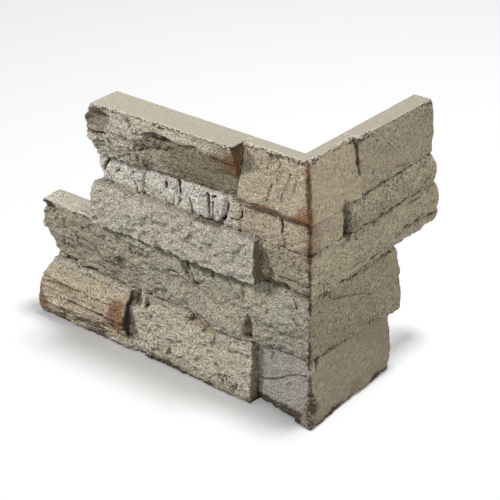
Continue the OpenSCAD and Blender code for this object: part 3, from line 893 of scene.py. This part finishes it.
def stone_material():
    """The vertex tone under a fine grain, with specks of dirt and a bump."""
    material = bpy.data.materials.new("split_stone")
    material.use_nodes = True
    nodes, links = material.node_tree.nodes, material.node_tree.links
    shader = nodes["Principled BSDF"]
    shader.inputs["Roughness"].default_value = 0.92
    shader.inputs["Specular IOR Level"].default_value = 0.25
    place = nodes.new("ShaderNodeTexCoord")
    tint = nodes.new("ShaderNodeVertexColor")
    tint.layer_name = "stone_colour"

    def texture(scale, detail, rough):
        node = nodes.new("ShaderNodeTexNoise")
        node.inputs["Scale"].default_value = scale
        node.inputs["Detail"].default_value = detail
        node.inputs["Roughness"].default_value = rough
        links.new(place.outputs["Object"], node.inputs["Vector"])
        return node.outputs["Fac"]

    def spread(source, low, high, to_low, to_high):
        node = nodes.new("ShaderNodeMapRange")
        for name, value in zip(("From Min", "From Max", "To Min", "To Max"), (low, high, to_low, to_high)):
            node.inputs[name].default_value = value
        links.new(source, node.inputs["Value"])
        return node.outputs["Result"]

    def joined(operation, first, second):
        node = nodes.new("ShaderNodeMath")
        node.operation = operation
        links.new(first, node.inputs[0])
        links.new(second, node.inputs[1])
        return node.outputs["Value"]

    mottle = texture(150, 4, 0.65)
    grain = texture(500, 3, 0.7)
    pits = texture(310, 2, 0.5)
    sand = texture(1000, 2, 0.6)
    shade = joined("MULTIPLY", spread(mottle, 0.3, 0.7, 0.92, 1.07), spread(grain, 0.35, 0.65, 0.8, 1.18))
    shade = joined("MULTIPLY", shade, spread(pits, 0.28, 0.36, 0.5, 1.0))
    shade = joined("MULTIPLY", shade, spread(sand, 0.3, 0.7, 0.66, 1.32))
    blend = nodes.new("ShaderNodeMapRange")
    blend.inputs["To Min"].default_value = 1.0
    links.new(tint.outputs["Alpha"], blend.inputs["Value"])
    links.new(shade, blend.inputs["To Max"])
    grained = nodes.new("ShaderNodeVectorMath")
    grained.operation = "SCALE"
    links.new(tint.outputs["Color"], grained.inputs[0])
    links.new(blend.outputs["Result"], grained.inputs["Scale"])

    dirt = nodes.new("ShaderNodeAttribute")
    dirt.attribute_name = "stone_dirt"
    threshold = spread(texture(620, 3, 0.65), 0.3, 0.66, 0.05, 1.0)
    specks = joined("SUBTRACT", dirt.outputs["Fac"], threshold)
    soiled = nodes.new("ShaderNodeMix")
    soiled.data_type = "RGBA"
    links.new(spread(specks, -0.06, 0.12, 0.0, 0.9), soiled.inputs["Factor"])
    links.new(grained.outputs["Vector"], soiled.inputs["A"])
    soiled.inputs["B"].default_value = (*DIRT, 1.0)
    links.new(soiled.outputs["Result"], shader.inputs["Base Color"])

    bump = nodes.new("ShaderNodeBump")
    links.new(tint.outputs["Alpha"], bump.inputs["Strength"])
    bump.inputs["Distance"].default_value = BUMP_DISTANCE
    coarse = joined("ADD", joined("MULTIPLY", grain, spread(mottle, 0.3, 0.7, 0.6, 1.0)), pits)
    relief = joined("ADD", coarse, joined("ADD", sand, mottle))
    links.new(relief, bump.inputs["Height"])
    links.new(bump.outputs["Normal"], shader.inputs["Normal"])
    return material


panel.data.materials.clear()
panel.data.materials.append(stone_material())


# The floor: reach in metres, and its tone for the eye, its tone for light that falls on it
# and its glow for the eye
FLOOR_REACH = 6.0
FLOOR_WHITE = 0.96
FLOOR_BOUNCE = 0.6
FLOOR_GLOW = 0.23


def seen_by_eye(nodes, links, hidden, seen):
    """One value for rays to the camera, mirrors and glass, and another for the rest."""
    path = nodes.new("ShaderNodeLightPath")
    share = path.outputs["Is Camera Ray"]
    for name in ("Is Glossy Ray", "Is Transmission Ray"):
        either = nodes.new("ShaderNodeMath")
        either.operation = "MAXIMUM"
        links.new(share, either.inputs[0])
        links.new(path.outputs[name], either.inputs[1])
        share = either.outputs["Value"]
    value = nodes.new("ShaderNodeMapRange")
    value.inputs["To Min"].default_value = hidden
    value.inputs["To Max"].default_value = seen
    links.new(share, value.inputs["Value"])
    return value.outputs["Result"]


def make_floor():
    mesh = bpy.data.meshes.new("floor")
    r = FLOOR_REACH
    mesh.from_pydata([(-r, -r, 0), (r, -r, 0), (r, r, 0), (-r, r, 0)], [], [(0, 1, 2, 3)])
    floor = bpy.data.objects.new("floor", mesh)
    bpy.context.scene.collection.objects.link(floor)
    material = bpy.data.materials.new("pale_floor")
    material.use_nodes = True
    nodes, links = material.node_tree.nodes, material.node_tree.links
    shader = nodes["Principled BSDF"]
    links.new(seen_by_eye(nodes, links, FLOOR_BOUNCE, FLOOR_WHITE), shader.inputs["Base Color"])
    shader.inputs["Roughness"].default_value = 1.0
    shader.inputs["Specular IOR Level"].default_value = 0.0
    shader.inputs["Emission Color"].default_value = (1, 1, 1, 1)
    links.new(seen_by_eye(nodes, links, 0.0, FLOOR_GLOW), shader.inputs["Emission Strength"])
    mesh.materials.append(material)


make_floor()

# Lights: name, direction from the panel, distance and size in metres, watts, and whether
# the light falls on the panel alone
LIGHTS = (
    ("key", (-0.64, -0.42, 0.54), 1.6, 0.3, 40.0, True),
    ("right", (0.8, -0.35, 0.38), 1.6, 0.6, 15.0, True),
    ("overhead", (0.12, 0.13, 1.0), 1.5, 0.3, 13.5, False),
)
LIGHT_AIM = Vector((-0.08, 0.0, 0.1))
SKY_STRENGTH = 0.34


def make_light(name, direction, distance, size, watts, panel_only):
    light = bpy.data.lights.new(name, "AREA")
    light.shape = "DISK"
    light.size = size
    light.energy = watts
    lamp = bpy.data.objects.new(name, light)
    toward = Vector(direction).normalized()
    lamp.location = LIGHT_AIM + toward * distance
    lamp.rotation_euler = toward.to_track_quat("Z", "Y").to_euler()
    bpy.context.scene.collection.objects.link(lamp)
    if panel_only:
        lamp.light_linking.receiver_collection = lit_panel


def make_sky():
    world = bpy.data.worlds.new("sky")
    bpy.context.scene.world = world
    world.use_nodes = True
    nodes, links = world.node_tree.nodes, world.node_tree.links
    background = nodes["Background"]
    background.inputs["Color"].default_value = (1, 1, 1, 1)
    links.new(seen_by_eye(nodes, links, SKY_STRENGTH, 1.0), background.inputs["Strength"])


lit_panel = bpy.data.collections.new("lit_panel")
lit_panel.objects.link(panel)
for light in LIGHTS:
    make_light(*light)
make_sky()

# The camera that fits the photograph: its angles, and its aim and distance in mm
CAMERA_AZIMUTH = 40.43
CAMERA_ELEVATION = 28.53
CAMERA_ROLL = -1.14
CAMERA_AIM = Vector((0, 0, 100))
CAMERA_SHIFT_RIGHT = -38.4
CAMERA_SHIFT_UP = 23.6
CAMERA_DISTANCE = 1117.0
FOCAL_SHARE = 3.2364
SENSOR = 36.0


def make_camera():
    azimuth, elevation, roll = (math.radians(v) for v in (CAMERA_AZIMUTH, CAMERA_ELEVATION, CAMERA_ROLL))
    back = Vector((
        math.sin(azimuth) * math.cos(elevation),
        -math.cos(azimuth) * math.cos(elevation),
        math.sin(elevation),
    ))
    level = Vector((math.cos(azimuth), math.sin(azimuth), 0))
    upright = back.cross(level)
    right = level * math.cos(roll) + upright * math.sin(roll)
    up = upright * math.cos(roll) - level * math.sin(roll)
    data = bpy.data.cameras.new("camera")
    data.sensor_width = SENSOR
    data.lens = SENSOR * FOCAL_SHARE
    data.clip_end = 20
    camera = bpy.data.objects.new("camera", data)
    place = CAMERA_AIM + right * CAMERA_SHIFT_RIGHT + up * CAMERA_SHIFT_UP + back * CAMERA_DISTANCE
    turn = Matrix((right, up, back)).transposed().to_4x4()
    camera.matrix_world = Matrix.Translation(place * MM) @ turn
    bpy.context.scene.collection.objects.link(camera)
    bpy.context.scene.camera = camera


make_camera()
bpy.context.scene.view_settings.view_transform = "Standard"
